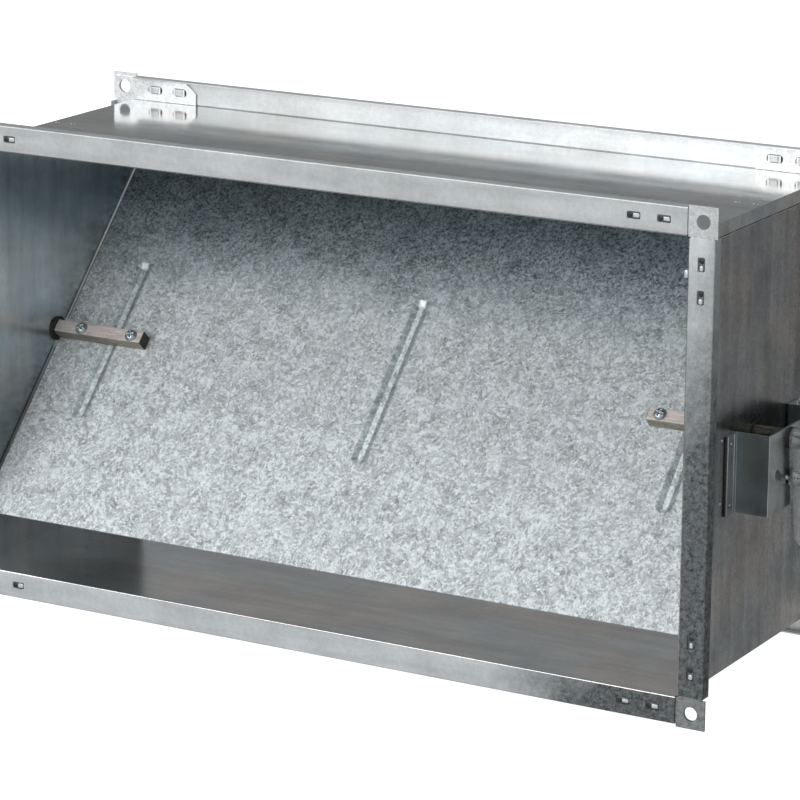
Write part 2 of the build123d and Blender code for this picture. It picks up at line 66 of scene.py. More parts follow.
class Shader:
    """Keeps node graphs short: most methods add one node and return its output."""

    def __init__(self, name):
        self.material = bpy.data.materials.new(name)
        self.material.use_nodes = True
        self.tree = self.material.node_tree
        self.principled = self.tree.nodes["Principled BSDF"]
        self.position = self.add("ShaderNodeTexCoord").outputs["Object"]

    def add(self, kind, **values):
        node = self.tree.nodes.new(kind)
        for key, value in values.items():
            setattr(node, key, value)
        return node

    def feed(self, socket, value):
        """Link an output to the socket, or set the socket to a constant."""
        if isinstance(value, bpy.types.NodeSocket):
            self.tree.links.new(value, socket)
        else:
            socket.default_value = value

    def stretch(self, scale):
        """Object position scaled per axis, for streaks and drawing marks."""
        node = self.add("ShaderNodeMapping")
        self.feed(node.inputs["Vector"], self.position)
        node.inputs["Scale"].default_value = scale
        return node.outputs["Vector"]

    def noise(self, scale, detail=3.0, rough=0.5, vector=None, distortion=0.0):
        node = self.add("ShaderNodeTexNoise")
        self.feed(node.inputs["Vector"], self.position if vector is None else vector)
        node.inputs["Scale"].default_value = scale
        node.inputs["Detail"].default_value = detail
        node.inputs["Roughness"].default_value = rough
        node.inputs["Distortion"].default_value = distortion
        return node.outputs["Fac"]

    def axis(self, index):
        """One coordinate of the object position."""
        node = self.add("ShaderNodeSeparateXYZ")
        self.feed(node.inputs["Vector"], self.position)
        return node.outputs[index]

    def shift(self, amount, scale, detail):
        """Object position pushed about by noise, so that cell edges turn ragged."""
        node = self.add("ShaderNodeTexNoise")
        self.feed(node.inputs["Vector"], self.position)
        node.inputs["Scale"].default_value = scale
        node.inputs["Detail"].default_value = detail
        centred = self.vector_math("SUBTRACT", node.outputs["Color"], (0.5, 0.5, 0.5))
        return self.vector_math("MULTIPLY_ADD", centred, (amount,) * 3, self.position)

    def vector_math(self, operation, *inputs):
        node = self.add("ShaderNodeVectorMath", operation=operation)
        for socket, value in zip(node.inputs, inputs):
            self.feed(socket, value)
        return node.outputs["Vector"]

    def cells(self, scale, vector):
        """Random colours of Voronoi cells, split into red, green and blue."""
        node = self.add("ShaderNodeTexVoronoi")
        self.feed(node.inputs["Vector"], vector)
        node.inputs["Scale"].default_value = scale
        split = self.add("ShaderNodeSeparateColor")
        self.feed(split.inputs["Color"], node.outputs["Color"])
        return split.outputs

    def dot(self, vector, direction):
        node = self.add("ShaderNodeVectorMath", operation="DOT_PRODUCT")
        self.feed(node.inputs[0], vector)
        self.feed(node.inputs[1], direction)
        return node.outputs["Value"]

    def math(self, operation, *inputs):
        node = self.add("ShaderNodeMath", operation=operation)
        for socket, value in zip(node.inputs, inputs):
            self.feed(socket, value)
        return node.outputs["Value"]

    def weigh(self, first, *others):
        """Weighted sum of (value, weight) pairs."""
        total = self.math("MULTIPLY", *first)
        for value, weight in others:
            total = self.math("MULTIPLY_ADD", value, weight, total)
        return total

    def away(self, value, place):
        """Distance of a value from a place."""
        return self.math("ABSOLUTE", self.math("SUBTRACT", value, place))

    def frayed(self, value, reach, scale, detail):
        """A length moved up and down by noise, by half of reach at most."""
        start = self.math("SUBTRACT", value, reach / 2)
        return self.math("MULTIPLY_ADD", self.noise(scale, detail, 0.6), reach, start)

    def span(self, value, low, high, to_low=0.0, to_high=1.0):
        """Map value from low..high to to_low..to_high, clamped."""
        node = self.add("ShaderNodeMapRange")
        self.feed(node.inputs["Value"], value)
        for name, number in zip(("From Min", "From Max", "To Min", "To Max"),
                                (low, high, to_low, to_high)):
            self.feed(node.inputs[name], number)
        return node.outputs["Result"]

    def blend(self, factor, first, second, mode="MIX"):
        node = self.add("ShaderNodeMix", data_type="RGBA", blend_type=mode)
        self.feed(node.inputs["Factor"], factor)
        self.feed(node.inputs[MIX_FIRST], first)
        self.feed(node.inputs[MIX_SECOND], second)
        return node.outputs[MIX_RESULT]

    def toned(self, colour, tone, amount=1.0):
        """A colour multiplied by a tone, by that amount."""
        product = self.blend(1.0, colour, tone, "MULTIPLY")
        return product if amount == 1.0 else self.blend(amount, colour, product)

    def ramp(self, factor, *stops):
        node = self.add("ShaderNodeValToRGB")
        self.feed(node.inputs["Fac"], factor)
        elements = node.color_ramp.elements
        while len(elements) < len(stops):
            elements.new(0.5)
        for element, (place, colour) in zip(elements, stops):
            element.position = place
            element.color = colour
        return node.outputs["Color"]

    def bump(self, height, strength, distance):
        node = self.add("ShaderNodeBump")
        node.inputs["Strength"].default_value = strength
        node.inputs["Distance"].default_value = distance
        self.feed(node.inputs["Height"], height)
        return node.outputs["Normal"]

    def surface(self, **values):
        for key, value in values.items():
            self.feed(self.principled.inputs[key.replace("_", " ")], value)
        return self.material


COLD = -0.06
COOL = -0.03


def grey(level, warmth=0.0):
    """A grey of that brightness, a little warm (positive) or cold (negative)."""
    return (level * (1 + warmth), level, level * (1 - warmth * 0.4), 1)


def greys(dark, light, warmth=0.0):
    """The dark and the light end of one look."""
    return grey(dark, warmth), grey(light, warmth)


# ---- sizes of the part that the finishes follow, in metres ---------------------------------
MM = 0.001
TAB = 20 * MM
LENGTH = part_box("top_panel")[1][1]
HALF_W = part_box("corner_front_top_right")[1][0] - TAB
HALF_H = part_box("corner_front_top_right")[1][2] - TAB
PIVOT_Y = LENGTH / 2
REAR_HALF = (LENGTH * 0.45, LENGTH * 0.55)  # where the front's finish gives way to the rear's

TILT = math.radians(43.5)
BLADE_NORMAL = (0, -math.cos(TILT), math.sin(TILT))
BLADE_UP = (0, math.sin(TILT), math.cos(TILT))
BLADE_HALF = 149 * MM
ALONG_X = (1, 0, 0)
BEAD_PITCH = 230.25 * MM
BEAD_REACH = 66 * MM  # half of a bead's length
BEAD_EDGE = 8 * MM  # where its slopes have met the flat sheet
BAR_LENGTH = 75 * MM
BAR_INNER = HALF_W - BAR_LENGTH
BAR_FLANK = -4.4 * MM  # height under which the bar's lower flank begins
FOLD_X = HALF_W + 1.2 * MM  # the top wall's fold begins outside this
DARK_REFLECTION_START = 172 * MM  # the painted dark reflection's edge along the flange's top, and how it slopes
DARK_REFLECTION_SLOPE = 0.457


# ---- materials ----------------------------------------------------------------------------
def feathers(s, flake, stroke_long, stroke_wide):
    """Feathery zinc crystals on the blade: grains that turn from flake to flake. Sizes in mm.

    Returns the tone of the grains and the tone of the flakes they lie in."""
    flakes = s.cells(1000.0 / flake, s.shift(0.010, 110.0, 3.0))
    turned = s.add("ShaderNodeVectorRotate", rotation_type="AXIS_ANGLE")
    s.feed(turned.inputs["Vector"], s.shift(0.0040, 330.0, 3.0))
    turned.inputs["Axis"].default_value = BLADE_NORMAL
    s.feed(turned.inputs["Angle"], s.math("MULTIPLY", flakes["Red"], 12.0))
    place = turned.outputs["Vector"]
    run = s.add("ShaderNodeCombineXYZ")
    s.feed(run.inputs["X"], s.math("MULTIPLY", s.dot(place, ALONG_X), 1000.0 / stroke_long))
    s.feed(run.inputs["Y"], s.math("MULTIPLY", s.dot(place, BLADE_UP), 1000.0 / stroke_wide))
    s.feed(run.inputs["Z"], s.math("MULTIPLY", flakes["Blue"], 40.0))
    grains = s.cells(1.0, run.outputs["Vector"])
    soft = s.noise(1.3, 2.0, 0.6, run.outputs["Vector"], 0.6)
    return s.weigh((soft, 0.60), (grains["Red"], 0.40)), flakes["Green"]


def blade_painted_shade(s, height):
    """Painted shade on the blade by height: darker towards its upper edge, in the top wall's shade,
    and there darker on the left than on the right, with black specks along its upper edge.
    """
    ragged = s.frayed(height, 60 * MM, 30.0, 3.0)
    shade = s.ramp(s.span(ragged, 40 * MM, BLADE_HALF), (0.0, grey(1.0)), (0.35, grey(0.76, COLD)),
                   (0.7, grey(0.50, -0.13)), (1.0, grey(0.29, -0.16)))
    upper_shade_and_specks = s.span(ragged, 55 * MM, 105 * MM)
    # painted shade: in the upper band, darker on the left, where the left wall shades the blade
    shade = s.toned(shade, s.span(s.axis("X"), -0.2 * HALF_W, 0.9 * HALF_W, 0.92, 1.45), upper_shade_and_specks)
    specks = s.span(s.noise(480.0, 3.0, 0.75), 0.42, 0.50, 0.36, 1.0)
    return s.toned(shade, specks, upper_shade_and_specks)


def bead_painted_light(s, colour, height):
    """Paints light and shade on the pressed beads: painted shade on their flanks, deepest on the right
    flank, a painted highlight on their floor and a white painted highlight at their upper tip.
    """
    from_bead = s.math("WRAP", s.axis("X"), BEAD_PITCH / 2, -BEAD_PITCH / 2)
    across = s.math("ABSOLUTE", from_bead)
    on_bead = s.span(s.math("ABSOLUTE", height), BEAD_REACH, BEAD_REACH - 2.0 * MM)
    # painted shade on the bead's flanks, deepest on the right one, and painted light on its floor
    flank = s.ramp(s.span(from_bead, -BEAD_EDGE, BEAD_EDGE), (0.10, grey(1.0)),
                   (0.18, grey(0.84, COLD)), (0.34, grey(0.74, COLD)), (0.40, grey(1.22)),
                   (0.58, grey(1.15)), (0.64, grey(0.46, COLD)), (0.84, grey(0.52, COLD)),
                   (0.95, grey(1.0)))
    colour = s.toned(colour, flank, on_bead)
    # a painted white highlight at the bead's upper tip
    tip = s.span(s.away(height, BEAD_REACH - 3.0 * MM), 1.6 * MM, 3.0 * MM, 1.0, 0.0)
    tip = s.math("MULTIPLY", tip, s.span(across, 2.0 * MM, 3.4 * MM, 1.0, 0.0))
    return s.blend(tip, colour, grey(1.0))


def spangled(name, dark, light, rough):
    """Hot-dip zinc with a small feathery spangle, for the blade."""
    s = Shader(name)
    coarse, flake_tone = feathers(s, 9.0, 3.8, 1.7)
    fine, _ = feathers(s, 4.0, 1.9, 0.8)
    cloud = s.noise(85.0, 5.0, 0.65)
    flecks = s.span(s.noise(260.0, 4.0, 0.75), 0.565, 0.62, 0.0, 0.36)
    mixed = s.weigh((fine, 0.40), (coarse, 0.52), (flake_tone, 0.08))
    mixed = s.math("MULTIPLY_ADD", cloud, 0.34, s.math("SUBTRACT", mixed, 0.18))
    mixed = s.math("ADD", mixed, flecks)
    middle = tuple((a + b) / 2 for a, b in zip(dark, light))
    zinc = s.ramp(mixed, (0.26, dark), (0.47, middle), (0.66, light), (0.8, grey(1.0, COLD)))
    height = s.math("ADD", s.dot(s.position, BLADE_UP), -BLADE_UP[1] * PIVOT_Y)
    colour = bead_painted_light(s, s.toned(zinc, blade_painted_shade(s, height)), height)
    roughness = s.span(mixed, 0.3, 0.7, rough + 0.10, rough - 0.08)
    return s.surface(Base_Color=colour, Metallic=0.2, Roughness=roughness,
                     Normal=s.bump(mixed, 0.25, 0.0004))


def look(s, mottle, dark, light):
    """One surface look: a colour from the shared mottle."""
    return s.ramp(mottle, (0.40, dark), (0.60, light))


def dark_reflection_and_dulling(s):
    """0 on bright zinc, 1 where the front flange is painted dark towards its lower right: a painted
    dark reflection, drawn in a dull speckled grey.
    """
    edge = s.math("MULTIPLY_ADD", s.axis("Z"), -DARK_REFLECTION_SLOPE,
                  s.math("SUBTRACT", s.axis("X"), DARK_REFLECTION_START))
    edge = s.math("SUBTRACT", edge, DARK_REFLECTION_SLOPE * (HALF_H + TAB / 2))
    return s.span(s.frayed(edge, 60 * MM, 45.0, 4.0), -35 * MM, 40 * MM)


def panel(name, outward, wall, front, rear, wall_rough, run_axis, light_fade):
    """A folded wall: its web, its front flange and its rear flange take different greys, as painted
    light and shade.

    outward is "Z" or "X", the way the wall faces, and run_axis is the number of the axis its
    streaks follow. light_fade is (axis, from, to, tone at from, tone at to): painted light and shade
    on the web along it."""
    s = Shader(name)
    streak_scale = [90.0, 90.0, 90.0]
    streak_scale[run_axis] = 9.0
    streaks = s.noise(1.0, 4.0, 0.6, s.stretch(streak_scale))
    fine = s.noise(700.0, 3.0, 0.65)
    speckle = s.noise(260.0, 4.0, 0.7)
    cloud = s.noise(25.0, 4.0, 0.6)
    mottle = s.weigh((cloud, 0.30), (streaks, 0.34), (fine, 0.14), (speckle, 0.22))
    dull = s.weigh((fine, 0.35), (speckle, 0.65))

    out = s.math("ABSOLUTE", s.axis(outward))
    wall_out = HALF_H if outward == "Z" else HALF_W
    on_flange = s.span(out, wall_out + 0.93 * MM, wall_out + 1.0 * MM)
    dull_dark_reflection = s.ramp(dull, (0.38, grey(0.05, -0.07)), (0.62, grey(0.26, -0.07)))
    # the front flange painted dark towards its lower right: a painted dark reflection in a dull
    # speckled grey
    front_colour = s.blend(dark_reflection_and_dulling(s), look(s, mottle, *front), dull_dark_reflection)
    # painted light: the rear flange lighter towards the right
    rear_painted_light = s.span(s.axis("X"), -HALF_W, HALF_W, 0.98, 1.38)
    bend_line = s.span(s.away(out, wall_out + 1.0 * MM), 0.3 * MM, 0.7 * MM, 0.25, 1.0)
    rear_colour = s.toned(s.toned(look(s, mottle, *rear), rear_painted_light), bend_line)
    flange_colour = s.blend(s.span(s.axis("Y"), *REAR_HALF), front_colour, rear_colour)

    along, start, end, tone_start, tone_end = light_fade
    # painted light and shade along the web
    web_painted_light = s.span(s.axis(along), start, end, tone_start, tone_end)
    if outward == "Z":
        # painted light: the top wall's fold over the side walls a quarter lighter
        folded = s.span(s.math("ABSOLUTE", s.axis("X")), FOLD_X, FOLD_X + 0.4 * MM, 1.0, 1.25)
        web_painted_light = s.math("MULTIPLY", web_painted_light, folded)
    drift = s.blend(s.span(s.noise(14.0, 3.0, 0.5), 0.42, 0.58), (0.97, 1.0, 1.02, 1),
                    (1.06, 1.0, 0.96, 1))
    web_colour = s.toned(s.toned(look(s, mottle, *wall), web_painted_light), drift)
    roughness = s.math("ADD", s.span(on_flange, 0, 1, wall_rough, 0.42),
                       s.span(mottle, 0.3, 0.7, -0.03, 0.05))
    return s.surface(Base_Color=s.blend(on_flange, web_colour, flange_colour),
                     Metallic=s.span(on_flange, 0, 1, 0.95, 0.7), Roughness=roughness,
                     Normal=s.bump(s.math("ADD", fine, speckle), 0.06, 0.0002))


def plate(name, dark, light, rough):
    """Stamped corner plates, painted dark where the flange they sit in carries its painted dark
    reflection, and painted lighter on the rear, most on the left.
    """
    s = Shader(name)
    mottle = s.weigh((s.noise(900.0, 3.0, 0.6), 0.4), (s.noise(300.0, 4.0, 0.7), 0.6))
    # painted dark reflection, shared with the front flange around the plate
    dark_reflection_share = s.math("MULTIPLY", dark_reflection_and_dulling(s), s.span(s.axis("Y"), *REAR_HALF, 0.8, 0.0))
    # painted light: the rear plates lighter, most on the left
    rear_painted_light = s.span(s.axis("X"), -HALF_W, HALF_W, 1.42, 1.15)
    undarkened = s.toned(look(s, mottle, dark, light), rear_painted_light, s.span(s.axis("Y"), *REAR_HALF))
    colour = s.blend(dark_reflection_share, undarkened, look(s, mottle, *greys(0.12, 0.32, -0.05)))
    return s.surface(Base_Color=colour, Metallic=0.75,
                     Roughness=s.span(mottle, 0.3, 0.7, rough - 0.05, rough + 0.06),
                     Normal=s.bump(mottle, 0.08, 0.0002))


def bracket_plate(name, sides, face, rough, face_x):
    """Smooth zinc plate, one zinc in two tones of painted light and shade: the bracket's side walls a
    darker, colder grey than its slotted face.
    """
    s = Shader(name)
    mottle = s.weigh((s.noise(900.0, 2.0), 0.25), (s.noise(70.0, 4.0, 0.6), 0.75))
    on_face = s.span(s.axis("X"), face_x - 1.0 * MM, face_x - 0.4 * MM)
    # painted light and shade: side walls and slotted face in two greys of one zinc
    colour = s.blend(on_face, look(s, mottle, *sides), look(s, mottle, *face))
    return s.surface(Base_Color=colour, Metallic=0.9,
                     Roughness=s.span(mottle, 0.3, 0.7, rough - 0.05, rough + 0.06),
                     Normal=s.bump(mottle, 0.05, 0.0002))


def bright(name, tint, rough, metal=1.0):
    """Bright zinc plate on small hardware, with a little dulling."""
    s = Shader(name)
    dull = s.noise(900.0, 3.0, 0.6)
    colour = s.ramp(dull, (0.3, tuple(c * 0.72 for c in tint) + (1,)), (0.7, tint + (1,)))
    return s.surface(Base_Color=colour, Metallic=metal,
                     Roughness=s.span(dull, 0.3, 0.7, rough - 0.05, rough + 0.1),
                     Normal=s.bump(dull, 0.1, 0.0002))


def bar_zinc(name):
    """Drawn bar: pale on the screws' side, an olive painted shade on its lower flank, dark on its cut
    ends, and outside the walls a painted shadow with a mottled painted highlight.
    """
    s = Shader(name)
    along = s.noise(1.0, 3.0, 0.6, s.stretch((60.0, 700.0, 700.0)))
    mottle = s.weigh((s.noise(900.0, 3.0, 0.6), 0.4), (along, 0.6))
    pale = s.ramp(mottle, (0.36, (0.62, 0.54, 0.51, 1)), (0.62, (0.95, 0.85, 0.81, 1)))
    olive = s.ramp(mottle, (0.36, (0.13, 0.115, 0.085, 1)), (0.62, (0.36, 0.33, 0.27, 1)))
    outside_shadow_and_glint = s.ramp(mottle, (0.45, (0.03, 0.033, 0.03, 1)), (0.66, (0.30, 0.27, 0.16, 1)))
    height = s.dot(s.vector_math("SUBTRACT", s.position, (0, PIVOT_Y, 0)), BLADE_UP)
    across = s.math("ABSOLUTE", s.axis("X"))
    # painted shade: olive on the bar's lower flank
    colour = s.blend(s.span(height, BAR_FLANK - 0.5 * MM, BAR_FLANK, 1.0, 0.0), pale, olive)
    cut = s.span(across, BAR_INNER + 0.1 * MM, BAR_INNER + 0.3 * MM, 1.0, 0.0)
    colour = s.blend(cut, colour, (0.045, 0.04, 0.035, 1))
    # painted shadow with a painted highlight, on the bar outside the walls
    colour = s.blend(s.span(across, HALF_W, HALF_W + 2 * MM), colour, outside_shadow_and_glint)
    return s.surface(Base_Color=colour, Metallic=0.3, Roughness=s.span(mottle, 0.3, 0.7, 0.35, 0.5),
                     Normal=s.bump(mottle, 0.1, 0.0002))


def nylon(name):
    """Black moulded nylon with a fine matt grain."""
    s = Shader(name)
    grain = s.noise(2500.0, 2.0)
    return s.surface(Base_Color=s.ramp(grain, (0.3, grey(0.012)), (0.7, grey(0.028))),
                     Roughness=s.span(grain, 0.3, 0.7, 0.42, 0.6), Normal=s.bump(grain, 0.1, 0.0001))


# The walls and the bracket are one zinc: their differing greys, wall by wall and flange by flange, are
# painted light and shade.
MATERIALS = {
    "blade": spangled("zinc_spangle", *greys(0.27, 0.97, COLD), 0.42),
    "top": panel("zinc_top", "Z", greys(0.34, 0.52, -0.02), greys(0.48, 0.68, COOL),
                 greys(0.56, 0.80, COOL), 0.10, 0, ("X", -HALF_W, HALF_W, 0.85, 1.0)),
    "bottom": panel("zinc_bottom", "Z", greys(0.40, 0.60), greys(0.56, 0.80, -0.04),
                    greys(0.60, 0.80), 0.16, 0, ("X", -HALF_W, -HALF_W * 0.7, 2.6, 0.98)),
    "left": panel("zinc_left", "X", greys(0.62, 0.90, -0.10), greys(0.50, 0.72, COOL),
                  greys(0.60, 0.80), 0.24, 2, ("Z", -50 * MM, 30 * MM, 0.34, 1.0)),
    "right": panel("zinc_right", "X", greys(0.26, 0.54, 0.01), greys(0.54, 0.78, COOL),
                   greys(0.60, 0.80), 0.26, 2, ("Z", -80 * MM, 20 * MM, 1.15, 0.92)),
    "corner": plate("zinc_corner", *greys(0.55, 0.80, -0.02), 0.38),
    "bracket": bracket_plate("zinc_bracket", greys(0.36, 0.44, -0.10), greys(0.40, 0.58, COOL),
                             0.34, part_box("lever_bracket")[1][0]),
    "lever": plate("zinc_lever", *greys(0.50, 0.72, -0.02), 0.25),
    "bar": bar_zinc("zinc_bar"),
    "bright": bright("zinc_bright", (0.80, 0.83, 0.84), 0.18),
    "nylon": nylon("nylon_black"),
    # painted shadow of the gap between the blade and the walls, in brown
    "blade_gap_shadow": bright("blade_gap_shadow_brown", (0.28, 0.24, 0.22), 0.5, 0.2),
    # painted shade on the floors of the clinch pockets
    "pocket_shade": bright("zinc_pocket", (0.22, 0.235, 0.24), 0.42, 0.4),
    "screw": bright("zinc_screw", (0.50, 0.57, 0.60), 0.24, 0.9),
    # painted shadow: near black, with the nylon's grain
    "shadow": nylon("painted_shadow_black"),
    # bright zinc, for real marks and for painted highlights
    "burnish_and_highlight": bright("zinc_burnished", (0.80, 0.81, 0.82), 0.34, 0.5),
}


def material_for(node):
    """Which finish a CAD node gets, by its name."""
    if node in ("blade", "lever"):
        return node
    if node == "lever_bracket":
        return "bracket"
    if node.startswith("corner_"):
        return "corner"
    if node.endswith("_panel"):
        return node.split("_")[0]
    if node.endswith("_bar"):
        return "bar"
    if node.endswith("_bush"):
        return "nylon"
    return "bright"


for node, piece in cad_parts.items():
    for slot in piece.material_slots:
        slot.material = MATERIALS[material_for(node)]


# ---- small pieces, in millimetres ---------------------------------------------------------
X, Y, Z = Vector((1, 0, 0)), Vector((0, 1, 0)), Vector((0, 0, 1))


class Builder:
    """Gathers closed shapes in millimetres and makes one scene piece of them."""

    def __init__(self):
        self.verts = []
        self.faces = []

    def solid(self, rings, place=Vector((0, 0, 0)), axes=(X, Y, Z)):
        """A closed skin over rings of equal length, capped at both ends."""
        first = len(self.verts)
        size = len(rings[0])
        for ring in rings:
            for a, b, c in ring:
                self.verts.append(place + axes[0] * a + axes[1] * b + axes[2] * c)
        for k in range(len(rings) - 1):
            for i in range(size):
                j = (i + 1) % size
                low, high = first + k * size, first + (k + 1) * size
                self.faces.append((low + i, low + j, high + j, high + i))
        self.faces.append(tuple(first + i for i in reversed(range(size))))
        self.faces.append(tuple(first + (len(rings) - 1) * size + i for i in range(size)))

    def make(self, name, finish, slot, body):
        mesh = bpy.data.meshes.new(name)
        mesh.from_pydata([v * MM for v in self.verts], [], self.faces)
        work = bmesh.new()
        work.from_mesh(mesh)
        bmesh.ops.recalc_face_normals(work, faces=work.faces)
        work.to_mesh(mesh)
        work.free()
        for polygon in mesh.polygons:
            polygon.use_smooth = True
        mesh.materials.append(MATERIALS[finish])
        made = bpy.data.objects.new(name, mesh)
        bpy.context.scene.collection.objects.link(made)
        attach(made, body)
        return made


CORNER_STEPS = 3


def rounded(long_side, short_side, corner, height):
    """One ring of a rounded rectangle at a height."""
    ring = []
    for quarter, (sx, sy) in enumerate(((1, 1), (-1, 1), (-1, -1), (1, -1))):
        for i in range(CORNER_STEPS + 1):
            angle = math.pi / 2 * (quarter + i / CORNER_STEPS)
            ring.append((sx * (long_side / 2 - corner) + corner * math.cos(angle),
                         sy * (short_side / 2 - corner) + corner * math.sin(angle), height))
    return ring


def pillow(long_side, short_side, foot, top):
    """Rings of a low rounded bump from a height foot to a height top."""
    rings = []
    for share, lift in ((1.0, 0.0), (0.96, 0.45), (0.86, 0.8), (0.68, 0.95), (0.4, 1.0)):
        rings.append(rounded(long_side * share, short_side * share, short_side * share * 0.3,
                             foot + (top - foot) * lift))
    return rings


half_w, half_h, length = HALF_W / MM, HALF_H / MM, LENGTH / MM
WALL = 0.9
PLATE = 1.5
random.seed(7)

# Clinches: where they lie on both flanges, counted from each corner.
CLINCH_STEPS = (17.0, 38.0)
CLINCH_MIDDLE = 9.25
CLINCH_FLOOR = -0.5
CLINCH_POCKET = (9.2, 4.7, 1.2)  # length, width and corner radius, also below
CLINCH_HOLE = (3.8, 3.4, 1.3)
RIM_FOOT = (12.0, 5.8, 2.4)
RIM_TOP = (11.6, 5.4, 2.3)
RIM_RISE = 0.12
BOSS_SIZE = (7.2, 5.2)
BOSS_TOP = 0.8


def clinches():
    """Middle, running direction and outward direction of every clinch."""
    for face_y, outward in ((0.0, -Y), (length, Y)):
        for side in (-1, 1):
            for level in (-1, 1):
                for step in CLINCH_STEPS:
                    yield (Vector((side * (half_w - step), face_y, level * (half_h + CLINCH_MIDDLE))),
                           X, outward)
                    yield (Vector((side * (half_w + CLINCH_MIDDLE), face_y, level * (half_h - step))),
                           -Z, outward)


# On the flange's face: a shallow pocket with painted shade on its floor, a torn hole in painted shadow
# and a raised tongue painted bright as its highlight.
floors, tongues, holes = Builder(), Builder(), Builder()
for middle, run, out in clinches():
    axes = (run, run.cross(out), out)
    floors.solid([rounded(*CLINCH_POCKET, CLINCH_FLOOR + rise) for rise in (0.02, 0.1)], middle, axes)
    wobble = random.uniform(-0.5, 0.5)
    hole_length, hole_width, hole_corner = CLINCH_HOLE
    torn = [(a * random.uniform(0.8, 1.15), b * random.uniform(0.8, 1.15), c)
            for a, b, c in rounded(hole_length + wobble, hole_width, hole_corner, CLINCH_FLOOR + 0.11)]
    holes.solid([torn, [(a * 0.97, b * 0.97, c + 0.05) for a, b, c in torn]],
                middle - run * (2.3 + wobble / 2), axes)
    reach = 4.6 if run == X else 3.4
    tongues.solid(pillow(reach, 2.6 + wobble, CLINCH_FLOOR + 0.1, -0.02),
                  middle + run * (4.1 - reach / 2), axes)
floors.make("clinch_slot_shade", "pocket_shade", "stamped_zinc", "casing")
tongues.make("clinch_tongues", "burnish_and_highlight", "stamped_zinc", "casing")
holes.make("clinch_hole_shadows", "shadow", "stamped_zinc", "casing")

# Their other side, on the back of each corner plate's arms: a bright boss ringed by a painted shadow.
rims, bosses = Builder(), Builder()
plate_back = WALL + PLATE
for middle, run, outward in clinches():
    axes = (run, run.cross(-outward), -outward)
    rims.solid([rounded(*RIM_FOOT, plate_back), rounded(*RIM_TOP, plate_back + RIM_RISE)],
               middle, axes)
    bosses.solid(pillow(*BOSS_SIZE, plate_back + BOSS_TOP - 0.1, plate_back + BOSS_TOP + 0.35),
                 middle, axes)
rims.make("clinch_rim_shadows", "shadow", "stamped_zinc", "casing")
bosses.make("clinch_bosses", "burnish_and_highlight", "stamped_zinc", "casing")

# The folded edge of the top wall over each side wall: painted shadow in its joint, with a painted
# highlight along the edge under it.
FOLD = 8.0
SEAM_INSET = 4.0
SEAM_POINTS = 40
joint_shadow, joint_highlight = Builder(), Builder()
for side in (-1, 1):
    for builder, upper, lower, out in ((joint_shadow, 0.0, 1.05, 0.5), (joint_highlight, 1.05, 1.6, 0.35)):
        section = [(0, -upper), (out, -upper), (out * 0.9, -(upper + lower) / 2), (0, -lower)]
        rings = []
        for k in range(SEAM_POINTS + 1):
            y = SEAM_INSET + (length - 2 * SEAM_INSET) * k / SEAM_POINTS
            seam_z = half_h - FOLD + 0.12 * math.sin(0.31 * y) + 0.08 * math.sin(0.83 * y + 1.0)
            rings.append([(side * (half_w + WALL + a), y, seam_z + b) for a, b in section])
        builder.solid(rings)
joint_shadow.make("seam_joint_shadow", "shadow", "galvanised_sheet", "casing")
joint_highlight.make("seam_edge_highlight", "burnish_and_highlight", "galvanised_sheet", "casing")

# A crimp that closes the top of the right wall's flange.
nub = Builder()
nub.solid([rounded(2.9, 5.2, 0.7, 0.0), rounded(2.7, 5.0, 0.7, 0.5), rounded(1.9, 4.2, 0.6, 0.8)],
          Vector((half_w - 1.0, WALL, 126.2)), (X, Z, -Y))
nub.make("flange_crimp", "burnish_and_highlight", "galvanised_sheet", "casing")

# Seam pips in pairs on the top wall, pressed up beside the seam.
pips = Builder()
for side in (-1, 1):
    for inset in (3.5, 16.5):
        for shift, width in ((-1.3, 1.7), (1.3, 1.3)):
            pips.solid(pillow(width, width, 0.5, 1.15),
                       Vector((side * (half_w - inset) + shift, length / 2, half_h)))
pips.make("seam_pips", "burnish_and_highlight", "galvanised_sheet", "casing")

# Bracket: painted shadow in the gap along each foot, and painted highlights along its bends.
bracket_low, bracket_high = (Vector(corner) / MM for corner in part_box("lever_bracket"))
foot_x, front_y, bottom_z = bracket_low
rear_y, top_z = bracket_high[1:]
BRACKET_MIDDLE_Z = -20.0
BEND_INSETS = (1.2, 10.8)  # the foot's outer edge and its bend, from the bracket's end
gap, bends = Builder(), Builder()
for edge_y, way in ((front_y, -1), (rear_y, 1)):
    gap.solid([[(foot_x, edge_y, z), (foot_x + 1.3, edge_y, z),
                (foot_x + 0.9, edge_y + way * 0.9, z), (foot_x, edge_y + way * 1.2, z)]
               for z in (bottom_z + 0.5, BRACKET_MIDDLE_Z, top_z - 0.5)])
for y in [front_y + inset for inset in BEND_INSETS] + [rear_y - inset for inset in BEND_INSETS]:
    bends.solid([[(foot_x + 1.45, y - 0.45, z), (foot_x + 1.45, y + 0.45, z),
                  (foot_x + 1.75, y + 0.2, z), (foot_x + 1.75, y - 0.2, z)]
                 for z in (bottom_z + 0.6, BRACKET_MIDDLE_Z, top_z - 0.6)])
gap.make("bracket_gap_shadow", "shadow", "stamped_zinc", "casing")
bends.make("bracket_bend_highlights", "burnish_and_highlight", "stamped_zinc", "casing")

# Spot-weld marks on the wall beside the bracket's feet and on its front foot.
spots = Builder()
for y, z, x in ((front_y - 5.2, 6.0, foot_x), (front_y - 5.4, -36.0, foot_x),
                (front_y + 7.0, 1.2, foot_x + 1.1), (front_y + 7.0, -39.6, foot_x + 1.1),
                (rear_y + 5.2, 6.0, foot_x), (rear_y + 5.4, -36.0, foot_x)):
    spots.solid(pillow(2.6, 1.5, 0.0, 0.3), Vector((x, y, z)), (Y, Z, X))
spots.make("weld_spots", "burnish_and_highlight", "galvanised_sheet", "casing")

